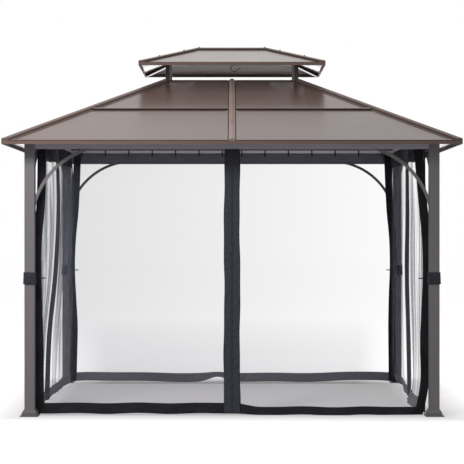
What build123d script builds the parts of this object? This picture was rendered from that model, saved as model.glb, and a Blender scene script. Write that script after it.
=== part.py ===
from build123d import *
import os
from math import atan, cos, degrees, sin, sqrt

os.makedirs("parts", exist_ok=True)

# Sizes in millimetres. X runs along the long side, -Y is the front, Z is up, the ground is at zero.

# Lower roof
roof_length = 3640
roof_depth = 3030
eave_height = 2196
vent_depth = 550
lower_rise = 601
seam_share = 0.487
overhang = 200
panel_sheet = 3
panel_hip_setback = 12
panel_middle_gap = 8
panel_rim_gap = 8
panel_rim_width = 14
panel_rim_height = 4
seam_lip_width = 16
seam_lip_height = 13
eave_trim_depth = 14
eave_trim_height = 27
hip_cap_half_width = 34
hip_cap_height = 17
rib_width = 52
rib_flange_height = 6
rib_height = 22

# Roof frame
rafter_width = 40
rafter_depth = 38
vent_bar_width = 40
vent_bar_height = 40
vent_post_width = 36

# Upper roof
upper_depth = 995
vent_clear_height = 110
upper_rise = 173
upper_trim_depth = 14
upper_trim_height = 26
upper_cap_half_width = 28
upper_cap_height = 14
upper_rafter_width = 30
upper_rafter_depth = 30
ridge_beam_width = 30
ridge_beam_depth = 40
ridge_beam_drop = 20
ridge_cap_overrun = 10

# Hanging hook under the ridge
hook_wire = 7
hook_offset = 28
hook_shank = 72
hook_neck_radius = 8
hook_neck_turn = 90
hook_radius = 30
hook_arc = 217
hook_tail = 45

# Posts, feet and beams
post_width = 80
post_wall = 2
post_seat_drop = 46
foot_width = 145
foot_plate = 10
foot_cover_width = 118
foot_cover_height = 20
foot_collar_height = 27
foot_collar_width = 86
beam_width = 50
beam_wall = 2
beam_height = 136

# Curved braces
brace_reach = 425
brace_radius = 625
brace_depth = 24
brace_width = 25

# Netting
net_inset = 60
net_bottom = 12
net_mesh_sheet = 1.2
net_band_sheet = 3
net_corner_gap = 4
net_top_band = 95
net_side_top_band = 150
net_bottom_band = 86
net_zip_band = 62
net_edge_band = 56
rail_width = 16
rail_height = 25
rail_drop = 8
rail_bracket_width = 24
rail_bracket_height = 16
rail_bracket_shares = (-0.86, -0.3, 0.3, 0.86)
strap_height = 95
strap_middle = 1105
strap_sheet = 3

# Clearances
fit_gap = 0.3
cut_overrun = 50

# Worked out from the sizes above
half_length = roof_length / 2
half_depth = roof_depth / 2
lower_run = half_depth - vent_depth / 2
seam_run = seam_share * lower_run
lower_slope = lower_rise / lower_run
lower_pitch = atan(lower_slope)
sheet_drop = panel_sheet / cos(lower_pitch)
vent_half_length = half_length - lower_run
vent_half_depth = half_depth - lower_run
vent_top = eave_height + lower_rise

post_x = half_length - overhang
post_y = half_depth - overhang
post_roof = eave_height + overhang * lower_slope
post_top = post_roof - post_seat_drop
beam_top = post_roof - beam_width / 2 * lower_slope - sheet_drop - fit_gap
beam_bottom = beam_top - beam_height

upper_run = upper_depth / 2
upper_half_length = upper_run + half_length - half_depth
upper_eave_height = vent_top + vent_clear_height + upper_trim_height
upper_slope = upper_rise / upper_run
upper_pitch = atan(upper_slope)
ridge_half = upper_half_length - upper_run
ridge_height = upper_eave_height + upper_rise

rail_top = beam_top - rail_drop
net_top = rail_top - rail_height - fit_gap

# Each side: its name, its turn about Z, half its eave and its eave's distance from the middle
sides = (
    ("front", 0, half_length, half_depth),
    ("right", 90, half_depth, half_length),
    ("rear", 180, half_length, half_depth),
    ("left", 270, half_depth, half_length),
)
corners = (("front_left", -1, -1), ("front_right", 1, -1), ("rear_left", -1, 1), ("rear_right", 1, 1))


def block(x0, x1, y0, y1, z0, z1):
    """A box between two opposite corners."""
    middle = Pos((x0 + x1) / 2, (y0 + y1) / 2, (z0 + z1) / 2)
    return middle * Box(x1 - x0, y1 - y0, z1 - z0)


def turned(shape, turn):
    """A front piece moved round to another side."""
    return Rot(0, 0, turn) * shape


def in_four_corners(shape):
    """A front right piece and its three mirror images."""
    pair = [shape, mirror(shape, about=Plane.YZ)]
    return pair + [mirror(one, about=Plane.XZ) for one in pair]


def save(name, *solids):
    """Write one node, with its solids kept apart."""
    export_step(Compound(children=list(solids), label=name), f"parts/{name}.step")


def slope_plane(distance, height, pitch):
    """The front slope's top face, with local X along the eave and local Y up the slope."""
    return Plane(origin=(0, -distance, height), x_dir=(1, 0, 0), z_dir=(0, -sin(pitch), cos(pitch)))


def slope_outline(eave_half, pitch, run0, run1, start, setback):
    """Right half of a hipped slope between two level runs, in the slope's own plane."""
    return Polygon(
        (start, run0 / cos(pitch)),
        (eave_half - run0 - setback, run0 / cos(pitch)),
        (eave_half - run1 - setback, run1 / cos(pitch)),
        (start, run1 / cos(pitch)),
        align=None,
    )


def hip_plane(corner_x, corner_y, height, slope):
    """Plane across the front right hip at the eave, with its normal up along the hip."""
    return Plane(origin=(corner_x, -corner_y, height), x_dir=(-1, -1, 0), z_dir=(-1, 1, slope))


def hip_fall(slope):
    """Fall of the two roof faces on either side of a hip, seen along it."""
    return slope / sqrt(slope**2 + 2)


def hip_bar(plane, outline, run, slope):
    """An outline carried along a hip from outside its eave to a level run."""
    step = sqrt(slope**2 + 2)
    start = plane.offset(-cut_overrun)
    return extrude(start * outline, amount=run * step + cut_overrun)


def hip_cap_outline(half_width, height, slope):
    """Folded cap that lies along both roof faces."""
    fall = half_width * hip_fall(slope)
    return Polygon(
        (-half_width, fit_gap - fall),
        (0, fit_gap),
        (half_width, fit_gap - fall),
        (half_width, height - fall),
        (0, height),
        (-half_width, height - fall),
        align=None,
    )


def hip_rafter_outline(width, depth, slope):
    """Bar under a hip, with its top bevelled to the sheets' undersides."""
    fall = hip_fall(slope)
    top = -panel_sheet * sqrt(1 + fall**2) - fit_gap
    side = width / 2
    return Polygon((-side, -depth), (side, -depth), (side, top - side * fall), (0, top),
                   (-side, top - side * fall), align=None)


# Posts and feet
post_half = post_width / 2
bore = post_half - post_wall
post = block(-post_half, post_half, -post_half, post_half, foot_plate, post_top)
post -= block(-bore, bore, -bore, bore, foot_plate - cut_overrun, post_top + cut_overrun)
for name, sx, sy in corners:
    save(f"post_{name}", Pos(sx * post_x, sy * post_y, 0) * post)

foot = block(-foot_width / 2, foot_width / 2, -foot_width / 2, foot_width / 2, 0, foot_plate)
cover_top = foot_plate + foot_cover_height
foot += block(-foot_cover_width / 2, foot_cover_width / 2, -foot_cover_width / 2, foot_cover_width / 2,
              foot_plate, cover_top)
collar_lean = degrees(atan((foot_cover_width - foot_collar_width) / 2 / foot_collar_height))
foot += extrude(Pos(0, 0, cover_top) * Rectangle(foot_cover_width, foot_cover_width),
                amount=foot_collar_height, taper=collar_lean)
socket_half = post_width / 2 + fit_gap
foot -= block(-socket_half, socket_half, -socket_half, socket_half,
              foot_plate, cover_top + foot_collar_height + cut_overrun)
for name, sx, sy in corners:
    save(f"foot_{name}", Pos(sx * post_x, sy * post_y, 0) * foot)

# Beams between the posts, with a curved brace at each end
beam_solids = []
for name, turn, eave_half, distance in sides:
    reach = eave_half - overhang - post_width / 2
    line = overhang - distance
    beam = block(-reach, reach, line - beam_width / 2, line + beam_width / 2, beam_bottom, beam_top)
    beam -= block(-reach - cut_overrun, reach + cut_overrun,
                  line - beam_width / 2 + beam_wall, line + beam_width / 2 - beam_wall,
                  beam_bottom + beam_wall, beam_top - beam_wall)
    beam_solids.append(turned(beam, turn))
    save(f"beam_{name}", beam_solids[-1])

    brace_centre = (brace_reach + sqrt(2 * brace_radius**2 - brace_reach**2)) / 2
    bend = Circle(brace_radius + brace_depth / 2) - Circle(brace_radius - brace_depth / 2)
    corner = Pos(-brace_centre / 2, brace_centre / 2) * Rectangle(brace_centre, brace_centre)
    bend_middle = (reach - brace_centre, line, beam_bottom - brace_centre)
    upright = Plane(origin=bend_middle, x_dir=(-1, 0, 0), z_dir=(0, 1, 0))
    brace = extrude(upright * (bend & corner), amount=brace_width / 2, both=True)
    pair = [brace, mirror(brace, about=Plane.YZ)]
    save(f"braces_{name}", *[turned(one, turn) for one in pair])

# Roof frame: vent ring, hip rafters seated on the posts, and a rafter in the middle of each side
vent_z0 = vent_top - vent_bar_height
vent_bars = []
for name, turn, eave_half, distance in sides:
    long_half = eave_half - lower_run
    near = distance - lower_run
    trim = vent_bar_width + fit_gap if turn % 180 else 0
    bar = block(trim - long_half, long_half - trim, -near, vent_bar_width - near, vent_z0, vent_top)
    vent_bars.append(turned(bar, turn))
save("vent_frame", *vent_bars)

lower_hip = hip_plane(half_length, half_depth, eave_height, lower_slope)
hip_outline = hip_rafter_outline(rafter_width, rafter_depth, lower_slope)
hip_rafter = hip_bar(lower_hip, hip_outline, lower_run, lower_slope)
hip_inset = eave_trim_depth + fit_gap
hip_rafter &= block(0, half_length - hip_inset, hip_inset - half_depth, 0, 0, vent_top)
hip_rafter -= block(-vent_half_length, vent_half_length, -vent_half_depth, vent_half_depth, 0, ridge_height)
hip_rafter -= block(post_x - post_half, post_x + post_half,
                    -post_y - post_half, post_half - post_y, 0, post_top)
for beam in beam_solids:
    hip_rafter -= beam
save("hip_rafters", *in_four_corners(hip_rafter))

middle_rafters = []
for name, turn, eave_half, distance in sides:
    outer = overhang + beam_width / 2
    top0 = eave_height + outer * lower_slope - sheet_drop - fit_gap
    top1 = eave_height + lower_rise - sheet_drop - fit_gap
    drop = rafter_depth / cos(lower_pitch)
    profile = Polygon((outer - distance, top0), (lower_run - distance, top1),
                      (lower_run - distance, top1 - drop), (outer - distance, top0 - drop), align=None)
    rafter = extrude(Plane.YZ * profile, amount=rafter_width / 2, both=True)
    middle_rafters.append(turned(rafter, turn))
save("middle_rafters", *middle_rafters)

# Lower roof: four sheets a side that lap over the eave trims, hip caps and a rib over each middle joint
panel_start = (panel_sheet * cos(lower_pitch) + fit_gap) / lower_slope
panel_end = lower_run - panel_sheet * sin(lower_pitch) - fit_gap
cap_setback = (hip_cap_half_width + panel_rim_gap) * sqrt(2)
rim_start = rib_width / 2 + panel_rim_gap
eave_trims = []
ribs = []
for name, turn, eave_half, distance in sides:
    plane = slope_plane(distance, eave_height, lower_pitch)
    sheets = []
    for run0, run1 in ((panel_start, seam_run - fit_gap), (seam_run, panel_end)):
        outline = slope_outline(eave_half, lower_pitch, run0, run1, panel_middle_gap / 2, panel_hip_setback)
        sheet = extrude(plane * outline, amount=-panel_sheet)
        raised = slope_outline(eave_half, lower_pitch, run0, run1, rim_start, cap_setback)
        rim = raised - offset(raised, amount=-panel_rim_width, kind=Kind.INTERSECTION)
        sheet += extrude(plane * rim, amount=panel_rim_height)
        if run0 == seam_run:
            lip_end = seam_run + seam_lip_width * cos(lower_pitch)
            lip = slope_outline(eave_half, lower_pitch, run0, lip_end, rim_start, cap_setback)
            sheet += extrude(plane * lip, amount=seam_lip_height)
        sheets += [sheet, mirror(sheet, about=Plane.YZ)]
    save(f"lower_panels_{name}", *[turned(sheet, turn) for sheet in sheets])

    inner = distance - eave_trim_depth
    mitre = Polygon((fit_gap - eave_half, -distance), (eave_half - fit_gap, -distance),
                    (eave_half - eave_trim_depth - fit_gap, -inner),
                    (fit_gap + eave_trim_depth - eave_half, -inner), align=None)
    eave_trims.append(turned(extrude(Pos(0, 0, eave_height) * mitre, amount=-eave_trim_height), turn))

    side = rib_width / 2
    rib_outline = Polygon((-side, fit_gap), (side, fit_gap), (side, rib_flange_height),
                          (0, rib_height), (-side, rib_flange_height), align=None)
    foot_of_slope = Plane(origin=plane.origin, x_dir=(-1, 0, 0), z_dir=plane.y_dir).offset(-cut_overrun)
    rib = extrude(foot_of_slope * rib_outline, amount=lower_run / cos(lower_pitch) + cut_overrun)
    rib &= block(-side, side, -distance, 0, 0, ridge_height)
    ribs.append(turned(rib, turn))
save("lower_eave_trims", *eave_trims)
save("roof_ribs", *ribs)

hip_cap = hip_bar(lower_hip, hip_cap_outline(hip_cap_half_width, hip_cap_height, lower_slope),
                  lower_run - fit_gap, lower_slope)
hip_cap &= block(0, half_length, -half_depth, 0, 0, ridge_height)
save("lower_hip_caps", *in_four_corners(hip_cap))

# Upper roof on four short posts
upper_hip = hip_plane(upper_half_length, upper_run, upper_eave_height, upper_slope)
upper_rafter = hip_bar(upper_hip, hip_rafter_outline(upper_rafter_width, upper_rafter_depth, upper_slope),
                       upper_run, upper_slope)
upper_inset = upper_trim_depth + fit_gap
upper_rafter &= block(0, upper_half_length - upper_inset,
                      upper_inset - upper_run, -ridge_beam_width / 2 - fit_gap, 0, ridge_height)
ridge_beam_top = ridge_height - ridge_beam_drop
ridge_beam_bottom = ridge_beam_top - ridge_beam_depth
ridge_beam_half = ridge_half + ridge_beam_width
ridge_beam = block(-ridge_beam_half, ridge_beam_half, -ridge_beam_width / 2, ridge_beam_width / 2,
                   ridge_beam_bottom, ridge_beam_top)
save("upper_rafters", *in_four_corners(upper_rafter), ridge_beam)

vent_post = block(vent_half_length - vent_post_width, vent_half_length,
                  -vent_half_depth, vent_post_width - vent_half_depth, vent_top, ridge_height)
seat = Plane(origin=upper_hip.origin, x_dir=upper_hip.x_dir, z_dir=upper_hip.y_dir)
vent_post = split(vent_post, bisect_by=seat.offset(-upper_rafter_depth - fit_gap), keep=Keep.BOTTOM)
save("vent_posts", *in_four_corners(vent_post))

upper_start = (panel_sheet * cos(upper_pitch) + fit_gap) / upper_slope
upper_trims = []
for name, turn, eave_half, distance in sides:
    reach = eave_half - half_length + upper_half_length
    near = distance - half_length + upper_half_length
    plane = slope_plane(near, upper_eave_height, upper_pitch)
    end = upper_run - panel_hip_setback
    halves = slope_outline(reach, upper_pitch, upper_start, end, 0, panel_hip_setback / 2)
    outline = halves + mirror(halves, about=Plane.YZ)
    sheet = extrude(plane * outline, amount=-panel_sheet)
    save(f"upper_panel_{name}", turned(sheet, turn))

    inner = near - upper_trim_depth
    mitre = Polygon((fit_gap - reach, -near), (reach - fit_gap, -near),
                    (reach - upper_trim_depth - fit_gap, -inner),
                    (fit_gap + upper_trim_depth - reach, -inner), align=None)
    upper_trims.append(turned(extrude(Pos(0, 0, upper_eave_height) * mitre, amount=-upper_trim_height), turn))
save("upper_eave_trims", *upper_trims)

cap_end = ridge_half + ridge_cap_overrun
upper_cap = hip_bar(upper_hip, hip_cap_outline(upper_cap_half_width, upper_cap_height, upper_slope),
                    upper_run, upper_slope)
upper_cap &= block(cap_end + fit_gap, upper_half_length,
                   -upper_run, -fit_gap / 2, 0, ridge_height + cut_overrun)
save("upper_hip_caps", *in_four_corners(upper_cap))

cap_fall = upper_cap_half_width * upper_slope
ridge_outline = Polygon((-upper_cap_half_width, fit_gap - cap_fall), (0, fit_gap),
                        (upper_cap_half_width, fit_gap - cap_fall),
                        (upper_cap_half_width, upper_cap_height - cap_fall), (0, upper_cap_height),
                        (-upper_cap_half_width, upper_cap_height - cap_fall), align=None)
ridge_line = Plane(origin=(-cap_end, 0, ridge_height), x_dir=(0, 1, 0), z_dir=(1, 0, 0))
save("upper_ridge_cap", extrude(ridge_line * ridge_outline, amount=2 * cap_end))

hook_root = (hook_offset, 0, ridge_beam_bottom)
hook_plane = Plane(origin=hook_root, x_dir=(1, 0, 0), z_dir=(0, -1, 0))
shank = Line((0, 0), (0, -hook_shank))
neck = JernArc(shank @ 1, shank % 1, hook_neck_radius, -hook_neck_turn)
bowl = JernArc(neck @ 1, neck % 1, hook_radius, hook_arc)
tail = Line(bowl @ 1, bowl @ 1 + (bowl % 1) * hook_tail)
hook_path = hook_plane * Wire([shank.edge(), neck.edge(), bowl.edge(), tail.edge()])
hook_start = Plane(origin=hook_root, z_dir=(0, 0, -1))
save("lamp_hook", sweep(hook_start * Circle(hook_wire / 2), path=hook_path))

# Netting: rails on the beams, then two halves a side, each a mesh field with four woven bands
rails = []
for name, turn, eave_half, distance in sides:
    rail_half = eave_half - overhang - net_inset - rail_width / 2 - fit_gap
    if turn % 180 == 0:
        rail_half += rail_width
    line = overhang + net_inset - distance
    beam_face = overhang + beam_width / 2 - distance
    rail = block(-rail_half, rail_half, line - rail_width / 2, line + rail_width / 2,
                 rail_top - rail_height, rail_top)
    for share in rail_bracket_shares:
        x = share * rail_half
        z = rail_top - rail_height / 2
        rail += block(x - rail_bracket_width / 2, x + rail_bracket_width / 2, beam_face, line,
                      z - rail_bracket_height / 2, z + rail_bracket_height / 2)
    rails.append(turned(rail, turn))

    net_half = eave_half - overhang - net_inset - net_corner_gap
    skin = net_mesh_sheet / 2
    band = net_band_sheet / 2
    zip_edge = fit_gap + net_zip_band
    side_edge = net_half - net_edge_band
    low = net_bottom + net_bottom_band
    high = net_top - (net_side_top_band if turn % 180 else net_top_band)
    mesh = block(zip_edge + fit_gap, side_edge - fit_gap, line - skin, line + skin,
                 low + fit_gap, high - fit_gap)
    bands = [
        block(fit_gap, zip_edge, line - band, line + band, net_bottom, net_top),
        block(side_edge, net_half, line - band, line + band, net_bottom, net_top),
        block(zip_edge + fit_gap, side_edge - fit_gap, line - band, line + band, net_bottom, low),
        block(zip_edge + fit_gap, side_edge - fit_gap, line - band, line + band, high, net_top),
    ]
    bands += [mirror(one, about=Plane.YZ) for one in bands]
    save(f"net_mesh_{name}", turned(mesh, turn), turned(mirror(mesh, about=Plane.YZ), turn))
    save(f"net_bands_{name}", *[turned(one, turn) for one in bands])
save("net_rails", *rails)

wrap = post_width / 2 + fit_gap
strap_half = wrap + strap_sheet
strap_low = strap_middle - strap_height / 2
strap = block(-strap_half, strap_half, -strap_half, strap_half, strap_low, strap_low + strap_height)
strap -= block(-wrap, wrap, -wrap, wrap, strap_low - cut_overrun, strap_low + strap_height + cut_overrun)
save("post_straps", *[Pos(sx * post_x, sy * post_y, 0) * strap for name, sx, sy in corners])
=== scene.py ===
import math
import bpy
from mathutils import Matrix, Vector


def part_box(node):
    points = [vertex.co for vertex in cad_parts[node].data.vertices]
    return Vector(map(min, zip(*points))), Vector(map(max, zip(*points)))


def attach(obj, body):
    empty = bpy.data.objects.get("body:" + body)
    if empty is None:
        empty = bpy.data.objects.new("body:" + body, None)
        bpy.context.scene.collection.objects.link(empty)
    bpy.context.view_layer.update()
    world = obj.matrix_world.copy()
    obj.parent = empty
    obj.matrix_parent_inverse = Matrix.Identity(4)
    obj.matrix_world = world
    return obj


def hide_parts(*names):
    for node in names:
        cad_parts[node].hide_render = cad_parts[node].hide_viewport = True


bl_info = {
    "name": "Metal gazebo with netting",
    "version": (1, 0, 0),
    "blender": (4, 5, 0),
    "location": "3D View > Sidebar > Gazebo",
    "description": "Paints the steel frame and roof, hangs the netting and sets the studio",
    "category": "Object",
}

import bpy
import mathutils
import numpy as np

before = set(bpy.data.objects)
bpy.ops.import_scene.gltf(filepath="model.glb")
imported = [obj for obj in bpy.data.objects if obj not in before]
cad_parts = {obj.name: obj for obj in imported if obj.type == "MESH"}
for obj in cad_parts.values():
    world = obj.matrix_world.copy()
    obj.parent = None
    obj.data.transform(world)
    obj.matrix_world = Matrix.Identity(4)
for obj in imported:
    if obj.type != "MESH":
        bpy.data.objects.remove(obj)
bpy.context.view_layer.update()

# All lengths are in metres
SIDES = {"front": 0, "right": 90, "rear": 180, "left": 270}
LONG_SIDES = ("front", "rear")
HALVES = {"first": -1, "second": 1}

# Columns of points across one net half, and its rows in the hem, the field and the top band
LONG_COLUMNS, SHORT_COLUMNS = 96, 200
HEM_ROWS, FIELD_ROWS, HEAD_ROWS = 8, 44, 7
ZIP_COLUMNS, EDGE_COLUMNS = 9, 8
# No hem goes lower than this above the floor
FLOOR_GAP = 0.002

# Folds wander sideways in a long and a short wave: by what share of a fold, and how fast upwards and across
LONG_WANDER = (0.09, 2.6, 1.3)
SHORT_WANDER = (0.03, 11.0, 5.0)
# Broad folds to each fine one, and how much of the wander they take
BROAD_FOLDS, BROAD_WANDER = 0.55, 0.6
# Share of the fine and of the broad folds at the hem, and what it gains up to the rail
FINE_SHARE = (0.35, 0.65)
BROAD_SHARE = (0.75, -0.65)
# Mean depth of the folds, how much it changes, and how fast across, upwards and from half to half
MEAN_DEPTH, DEPTH_CHANGE = 0.68, 0.32
DEPTH_WAVES = (9.0, 1.7, 2)
# Distances from the zip where the folds begin and are full, and the reach of the zip's twist.
# Then the share of the width beside the post over which the folds die away.
ZIP_STIFF = (0.045, 0.145)
TWIST_REACH = 0.16
POST_STIFF = 0.07
# Small waves of a crumpled hem to each of its folds, and where these and the hem's own waves begin
CRUMPLE_WAVES, CRUMPLE_START = 2.2, 0.8
WAVE_START = 1.1
# Share of a half over which its hem sinks to the floor, and how much less its lower edge sinks
DROP_REACH = 0.15
LANDED_SHARE = 0.78
# Where a hem that has caught on itself stands up: its distance from the zip and its reach
ARCH_PLACE, ARCH_REACH = 0.140, 0.110
# The first loop's distance from the zip, and how far the top edge sags between two loops.
# Then the share of the width beside the post over which the sag dies away.
LOOP_START = 0.094
TOP_SAG = 0.009
SAG_STIFF = 0.05
# How closely each of these keeps to the hem or the rail, as the power of a share of the height
KEEPS = {"crumple": 8, "twist": 6, "push": 30, "lift": 6, "sink": 4, "landed": 44, "arch": 40, "sag": 60}
# The lift of a hem keeps to the post, as the power of a share of the width
LIFT_TO_POST = 4

# The zip's bands: share of their width at the hem and its loss up to the rail, and their extra thickness.
# The bow has a size, and how fast it changes upwards and from half to half. The ripple has the first two.
ZIP_WIDTH, ZIP_TAPER, ZIP_LAP = 1.07, 0.06, 0.0008
ZIP_BOW = (0.003, 14, 1.3)
ZIP_RIPPLE = (0.0015, 37)
# How strongly the inner faces of the hem and the long top bands are painted a lighter grey, as painted light,
# and how much of it shows through to the outer side
HEM_INNER_LIGHT, HEAD_INNER_LIGHT, INNER_LIGHT_THROUGH = 1.0, 0.9, 0.035

# Loops: height, rise above the rail, widths below and above, tape thickness, bend, and room at the post
LOOP_HIGH, LOOP_ABOVE = 0.060, 0.002
LOOP_LOW_WIDTH, LOOP_TOP_WIDTH = 0.0046, 0.030
LOOP_SHEET, LOOP_BEND, LOOP_END = 0.0012, 0.0025, 0.01
# Zips: a tooth's sizes, and the ends of its row as shares of the height.
# Then sizes and places of a slider's body and tab, and two levels at the slider that show how the zip runs.
TOOTH = {"Length": 0.0036, "Width": 0.0076, "Height": 0.0052}
ZIP_ENDS, ZIP_POINTS = (0.012, 0.985), 90
SLIDER_BODY, SLIDER_RISE = (0.016, 0.012, 0.009), (0.0, 0.0, 0.003)
SLIDER_TAB, TAB_PLACE = (0.030, 0.008, 0.0022), (0.011, 0.0, 0.0085)
SLIDER_LEVELS = (0.016, 0.018)
# Stitches: radius of the thread, and distance of a seam from a band's edge and from the zip.
# Level of the hem's seam and distance of the others from the band's edge are shares of the height.
# Then the ends of the seams, as shares, and their points, upwards and across.
THREAD = 0.0008
SEAM_INSET, ZIP_SEAM = 0.005, 0.010
HEM_SEAM, BAND_SEAM = 0.004, 0.0025
UP_SEAM, UP_POINTS = (0.01, 0.99), 80
CROSS_SEAM, CROSS_POINTS = (0.05, 0.955), 150
# Straps: turns round a post and where they start, as a share of half a turn, and points.
# Then squareness, thickness, and slack: everywhere, towards the lower edge and towards the end.
STRAP_TURNS, STRAP_START, STRAP_POINTS, STRAP_ROWS = 1.16, 0.15, 150, 9
STRAP_SQUARE, STRAP_SHEET = 14.0, 0.0022
STRAP_SLACK = (0.0042, 0.0030, 0.0032)
# The loose tail: where it comes away and sinks and over how much turn, in radians, and by how much
TAIL_LOOSE, TAIL_SINKS, TAIL_TURN = 5.9, 6.0, 1.3
TAIL_OUT, TAIL_DOWN, STRAP_WAVE = 0.006, 0.004, 0.002
# Toggles: the barrel's size and rise, the tab, height above the floor, and distance past the edge band
BARREL, BARREL_RISE = (0.030, 0.011, 0.011), (0.0, 0.0, 0.005)
TOGGLE_TAB = (0.046, 0.009, 0.0024)
TOGGLE_HEIGHT, TOGGLE_PAST = 1.104, 0.012

# Sizes of the roof that the dark rubber lips follow
CAP_HALF = {"lower": 0.034, "upper": 0.028}
RIDGE_RISE = 0.014
RIB_HALF = 0.026
RIM_RISE = 0.004
SEAM_SHARE = 0.487
# Rubber lips, whose black also paints the shadow lines beside ribs, caps and lap seams: section, and the
# extra height over a lap seam.
# Then distances from the eave, a seam, a slope's upper edge, its peak and the vent's rim.
SHADE_LINE_WIDE, SHADE_LINE_HIGH, LAP_HIGH = 0.008, 0.004, 0.003
EAVE_GAP, SEAM_GAP, TOP_GAP, PEAK_GAP, RIM_GAP = 0.018, 0.005, 0.006, 0.002, 0.004
# Screws: the washer's radius and thickness and the head's height.
# Then places along a hip cap, as shares, and distances from a ridge end and up a rib.
SCREW = {"Washer": 0.008, "Sheet": 0.003, "Height": 0.012}
HIP_SCREWS = (0.352, 0.776)
RIDGE_SCREW, RIB_SCREW = 0.025, 0.324
# How exactly points of caps and ribs are picked by their place, and how far a rib's slanted end reaches
HAIR, RIB_END = 0.001, 0.03

# Studio floor: half its width, how far it lies below the feet, and its tint
FLOOR_HALF, FLOOR_DROP = 60.0, 0.001
FLOOR_TINT = (1.0, 0.95, 1.0)
# The painted shade under the roof, where the floor's glow is kept low over the roof's real shadow: half its
# width and depth, and where its fade to white starts and ends
PAINTED_SHADE_HALF = {"X": 1.56, "Y": 1.25}
PAINTED_SHADE_FADE = (-0.1, 0.5)
# The pale painted shadow behind the gazebo: its start, its fade to the back, its depth, its taper and its
# soft sides
SHADE_START, SHADE_FADE = 1.2, (1.4, 12.0)
SHADE_DEPTH, SHADE_TAPER, SHADE_SIDES = 0.27, -0.09, (-0.46, -0.1)

# How each side's netting hangs. Every row of levels runs evenly from the hem up to the rail:
# the zip's shift along the side and outwards, the depth of the folds, and each half's edge beside its post.
# Folds and hem folds are counted over one half.
# Spread says how a shift of the zip dies away towards each post.
# Twist turns the two bands of the zip about it, one outwards and the other inwards.
# Hem drop lowers a half's hem, hem arch lifts it near the zip.
# Hem out pushes its lower edge outwards, by an amount and with a skew to the post.
PLAIN_DRAPE = {
    "zip_along": (0.0, 0.0),
    "twist": 0.0,
    "spread": {-1: 1.0, 1: 1.0},
    "hem_drop": {-1: 0.0, 1: 0.0},
    "hem_arch": {-1: 0.0, 1: 0.0},
    "hem_out": {-1: (0.0, 1.0), 1: (0.0, 1.0)},
}
NET_DRAPE = {
    "front": {
        **PLAIN_DRAPE,
        "zip_out": (0.004, 0.003, 0.0, 0.0, 0.0),
        "depth": (0.007, 0.005, 0.004, 0.003, 0.001),
        "edge": {
            -1: (0.026, 0.031, 0.033, 0.042, 0.050, 0.047, 0.022, 0.013, 0.014),
            1: (-0.020, 0.032, 0.030, 0.040, 0.052, 0.046, 0.020, -0.005, -0.026),
        },
        "folds": 3.5,
        "hem_lift": {-1: 0.0, 1: -0.001},
        "hem_drop": {-1: 0.0, 1: 0.042},
        "hem_out": {-1: (0.0, 1.0), 1: (0.026, 1.0)},
        "hem_wave": 0.005,
        "hem_folds": 3.0,
        "crumple": 0.002,
    },
    "rear": {
        **PLAIN_DRAPE,
        "zip_out": (0.004, 0.003, 0.0, 0.0, 0.0),
        "depth": (0.007, 0.006, 0.004, 0.003, 0.001),
        "edge": {
            -1: (0.046, 0.043, 0.041, 0.046, 0.056, 0.050, 0.024, 0.010, 0.000),
            1: (0.033, 0.026, 0.022, 0.037, 0.049, 0.039, 0.013, -0.001, -0.010),
        },
        "folds": 3.0,
        "hem_lift": {-1: 0.016, 1: 0.014},
        "hem_arch": {-1: 0.0, 1: 0.046},
        "hem_wave": 0.005,
        "hem_folds": 2.0,
        "crumple": 0.003,
    },
    "left": {
        **PLAIN_DRAPE,
        "zip_along": (0.32, 0.19, 0.06, 0.0, 0.0),
        "zip_out": (0.050, 0.046, 0.006, -0.012, 0.0),
        "twist": 0.012,
        "depth": (0.006, 0.022, 0.028, 0.026, 0.008),
        "edge": {-1: (-0.006, -0.004, 0.0, -0.004, -0.012), 1: (-0.004, -0.002, 0.0, -0.004, -0.016)},
        "spread": {-1: 2.2, 1: 2.0},
        "folds": 13.0,
        "hem_lift": {-1: 0.006, 1: 0.002},
        "hem_wave": 0.004,
        "hem_folds": 2.0,
        "crumple": 0.004,
    },
    "right": {
        **PLAIN_DRAPE,
        "zip_along": (-0.04, -0.02, 0.0, 0.0, 0.0),
        "zip_out": (0.020, 0.010, 0.0, 0.004, 0.0),
        "twist": -0.010,
        "depth": (0.004, 0.016, 0.018, 0.015, 0.005),
        "edge": {-1: (-0.016, -0.008, 0.0, -0.004, -0.020), 1: (-0.006, -0.004, 0.0, -0.004, -0.012)},
        "spread": {-1: 1.2, 1: 1.2},
        "folds": 12.0,
        "hem_lift": {-1: 0.002, 1: 0.008},
        "hem_out": {-1: (-0.064, 0.8), 1: (0.070, 2.5)},
        "hem_wave": 0.008,
        "hem_folds": 2.0,
        "crumple": 0.012,
    },
}


def linear(hex_colour):
    """An sRGB hex colour as linear red, green and blue."""
    shares = [int(hex_colour[i : i + 2], 16) / 255 for i in (0, 2, 4)]
    return tuple(s / 12.92 if s <= 0.04045 else ((s + 0.055) / 1.055) ** 2.4 for s in shares)


def paint(name, description, hex_colour):
    """A colour that the user can change."""
    return bpy.props.FloatVectorProperty(
        name=name, description=description, subtype="COLOR", default=linear(hex_colour)
    )


def length(name, description, metres):
    """A length that the user can change."""
    return bpy.props.FloatProperty(name=name, description=description, unit="LENGTH", default=metres)


def power(name, description, watts):
    """A lamp's power that the user can change."""
    return bpy.props.FloatProperty(name=name, description=description, unit="POWER", default=watts)


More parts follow.
